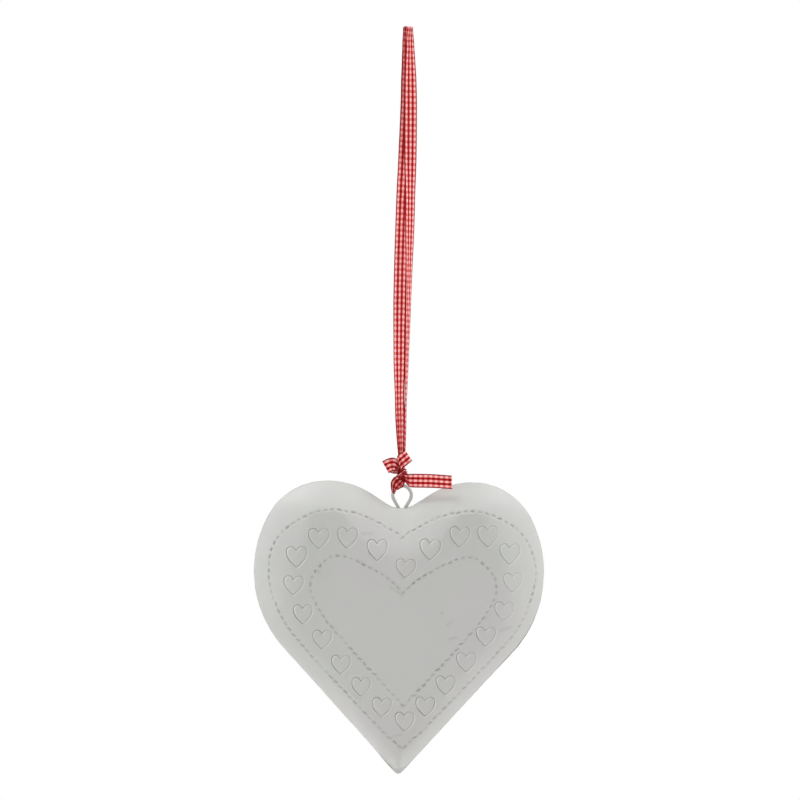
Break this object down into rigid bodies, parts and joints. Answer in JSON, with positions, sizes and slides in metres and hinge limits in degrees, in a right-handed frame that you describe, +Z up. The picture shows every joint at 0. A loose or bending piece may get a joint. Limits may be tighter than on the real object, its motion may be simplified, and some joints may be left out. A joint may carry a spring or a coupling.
{
  "type": "hanging tin heart ornament",
  "caption": "Hollow heart of two pressed tin shells with a stitched and embossed front, a soldered wire eye, and a gingham ribbon loop tied on with a small bow.",
  "frame": {"origin": "the point where the inside of the ribbon loop rests on its hook or peg", "axes": "+X to the right seen from the front, +Y away from the front, towards the wall, +Z up"},
  "size_m": [0.1294, 0.026, 0.3336],
  "materials": {
    "tin_paint": "satin off-white paint over tin plate, with soft hand-made dents",
    "painted_solder": "satin off-white paint over uneven solder",
    "painted_wire": "satin off-white paint over round wire",
    "gingham": "woven red and white gingham with dark red selvages"
  },
  "bodies": {
    "loop": {"hanging_loop": "gingham"},
    "tie": {"knot": "gingham", "strand_ends": "gingham", "bow_loop": "gingham", "short_tail": "gingham", "long_tail": "gingham"},
    "turn": {"eye_turn": "gingham"},
    "heart": {"front_shell": "tin_paint", "back_shell": "tin_paint", "seam_solder": "painted_solder", "wire_eye": "painted_wire", "eye_solder": "painted_solder"}
  },
  "joints": [
    {"name": "ribbon_twist", "type": "hinge", "parent": "loop", "child": "tie", "pos_m": [0, 0, -0.1867], "axis": [0, 0, 1], "range_deg": [-180, 180]},
    {"name": "heart_tilt", "type": "hinge", "parent": "tie", "child": "turn", "pos_m": [0, 0, -0.20495], "axis": [1, 0, 0], "range_deg": [-10, 60]},
    {"name": "heart_swing", "type": "hinge", "parent": "turn", "child": "heart", "pos_m": [0, 0, -0.2091], "axis": [0, 1, 0], "range_deg": [-8, 30]}
  ]
}
